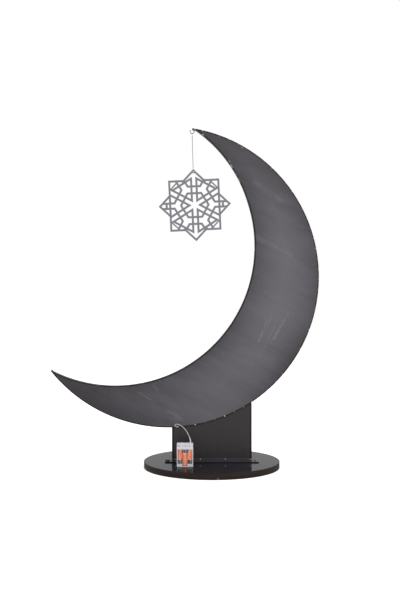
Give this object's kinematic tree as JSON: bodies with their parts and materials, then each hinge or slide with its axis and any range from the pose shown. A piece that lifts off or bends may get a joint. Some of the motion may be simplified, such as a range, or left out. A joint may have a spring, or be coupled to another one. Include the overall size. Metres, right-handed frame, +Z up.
{
  "type": "crescent moon ornament",
  "caption": "Crescent moon standing ornament on a round base, with a string of light beads on its rim, a clear battery box and a lattice star that hangs from a hook at its tip.",
  "frame": {"origin": "centre of the round base's underside, on the surface that it stands on", "axes": "+Z up; the crescent lies in the XZ plane and opens towards -X; the wired side with the battery box faces -Y"},
  "size_m": [0.7835, 0.4, 0.9941],
  "materials": {
    "base_laminate": "satin dark laminate on board",
    "edge_band": "satin dark brown edge band",
    "zinc_screws": "zinc plated",
    "black_steel": "satin black powder coat",
    "black_screws": "black oxide",
    "bright_pins": "bright steel",
    "stand_laminate": "satin near-black laminate on board",
    "edge_trim": "satin black",
    "panel_grey": "satin charcoal-grey painted board",
    "panel_front": "satin charcoal-grey painted board",
    "rim_black": "satin near-black strip",
    "blocks": "plain softwood",
    "nails": "bright steel",
    "copper_wire": "lacquered copper",
    "bead_resin": "cloudy yellowish-white resin",
    "lead_plastic": "whitish sleeve",
    "clear_plastic": "clear whitish plastic",
    "cell_wrap": "orange, black and silver bands",
    "contacts": "nickel plated",
    "board_green": "green solder mask",
    "switch_grey": "moulded dark grey",
    "knob_white": "moulded white",
    "gland_plastic": "moulded translucent grey",
    "hook_chrome": "bright plated wire",
    "thread_grey": "dark grey nylon thread",
    "star_silver": "silver-grey satin paint"
  },
  "bodies": {
    "root": {"base_disc": "base_laminate", "base_edge_band": "edge_band", "base_screws": "zinc_screws", "foot_bracket": "black_steel", "bracket_lug_screws": "black_screws", "bracket_pins": "bright_pins", "stand_board": "stand_laminate", "stand_edge_trims": "edge_trim", "back_skin": "panel_grey", "front_skin": "panel_front", "outer_rim": "rim_black", "inner_rim": "rim_black", "upper_tip_block": "blocks", "lower_tip_block": "blocks", "spacer_blocks": "blocks", "tip_nails": "nails", "string_wire": "copper_wire", "string_beads": "bead_resin", "lead_sleeve": "lead_plastic", "lead_wire": "lead_plastic", "battery_case": "clear_plastic", "cell_left": "cell_wrap", "cell_middle": "cell_wrap", "cell_right": "cell_wrap", "contact_springs": "contacts", "contact_plates": "contacts", "circuit_board": "board_green", "switch_body": "switch_grey", "lead_gland": "gland_plastic", "cup_hook": "hook_chrome"},
    "cover": {"case_cover": "clear_plastic", "cover_screw": "nails"},
    "switch_knob": {"switch_knob": "knob_white"},
    "hook_loop": {"hook_loop": "thread_grey"},
    "thread": {"hanging_thread": "thread_grey", "thread_knot": "thread_grey"},
    "star": {"star_loop": "thread_grey", "star_knot": "thread_grey", "star_pendant": "star_silver"}
  },
  "joints": [
    {"name": "cover_lift", "type": "slide", "parent": "root", "child": "cover", "axis": [0, -1, 0], "range_m": [0, 0.03]},
    {"name": "switch_slide", "type": "slide", "parent": "root", "child": "switch_knob", "axis": [1, 0, 0], "range_m": [-0.0015, 0.0015]},
    {"name": "hook_sway", "type": "hinge", "parent": "root", "child": "hook_loop", "pos_m": [-0.05761, -0.0245, 0.98025], "axis": [1, 0, 0], "range_deg": [-40, 40]},
    {"name": "thread_swing", "type": "hinge", "parent": "hook_loop", "child": "thread", "pos_m": [-0.05761, -0.0245, 0.9746], "axis": [0, 1, 0], "range_deg": [-11, 60]},
    {"name": "star_twist", "type": "hinge", "parent": "thread", "child": "star", "pos_m": [-0.05482, -0.0245, 0.88059], "axis": [-0.0454, 0, 0.999], "continuous": true}
  ]
}
